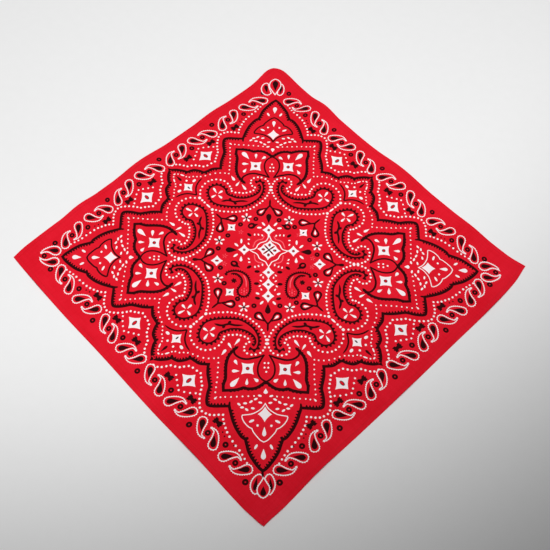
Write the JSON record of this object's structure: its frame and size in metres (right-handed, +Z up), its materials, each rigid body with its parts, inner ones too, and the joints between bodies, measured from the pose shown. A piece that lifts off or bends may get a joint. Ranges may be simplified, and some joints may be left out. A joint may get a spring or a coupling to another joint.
{
  "type": "bandana",
  "caption": "Square cotton bandana laid out flat, with narrow turned hems, slightly wavy edges and a few low ripples near the edges.",
  "frame": {"origin": "on the table, under the middle of the cloth's box", "axes": "+Z up, X and Y along the cloth's edges; the corner at +X -Y is the near one in the picture"},
  "size_m": [0.5676, 0.5638, 0.0072],
  "materials": {
    "red_cotton": "matte",
    "red_thread": "matte"
  },
  "bodies": {
    "root": {"panel": "red_cotton", "hem_near_left": "red_cotton", "hem_near_right": "red_cotton", "hem_far_right": "red_cotton", "hem_left_far": "red_cotton"}
  },
  "joints": []
}
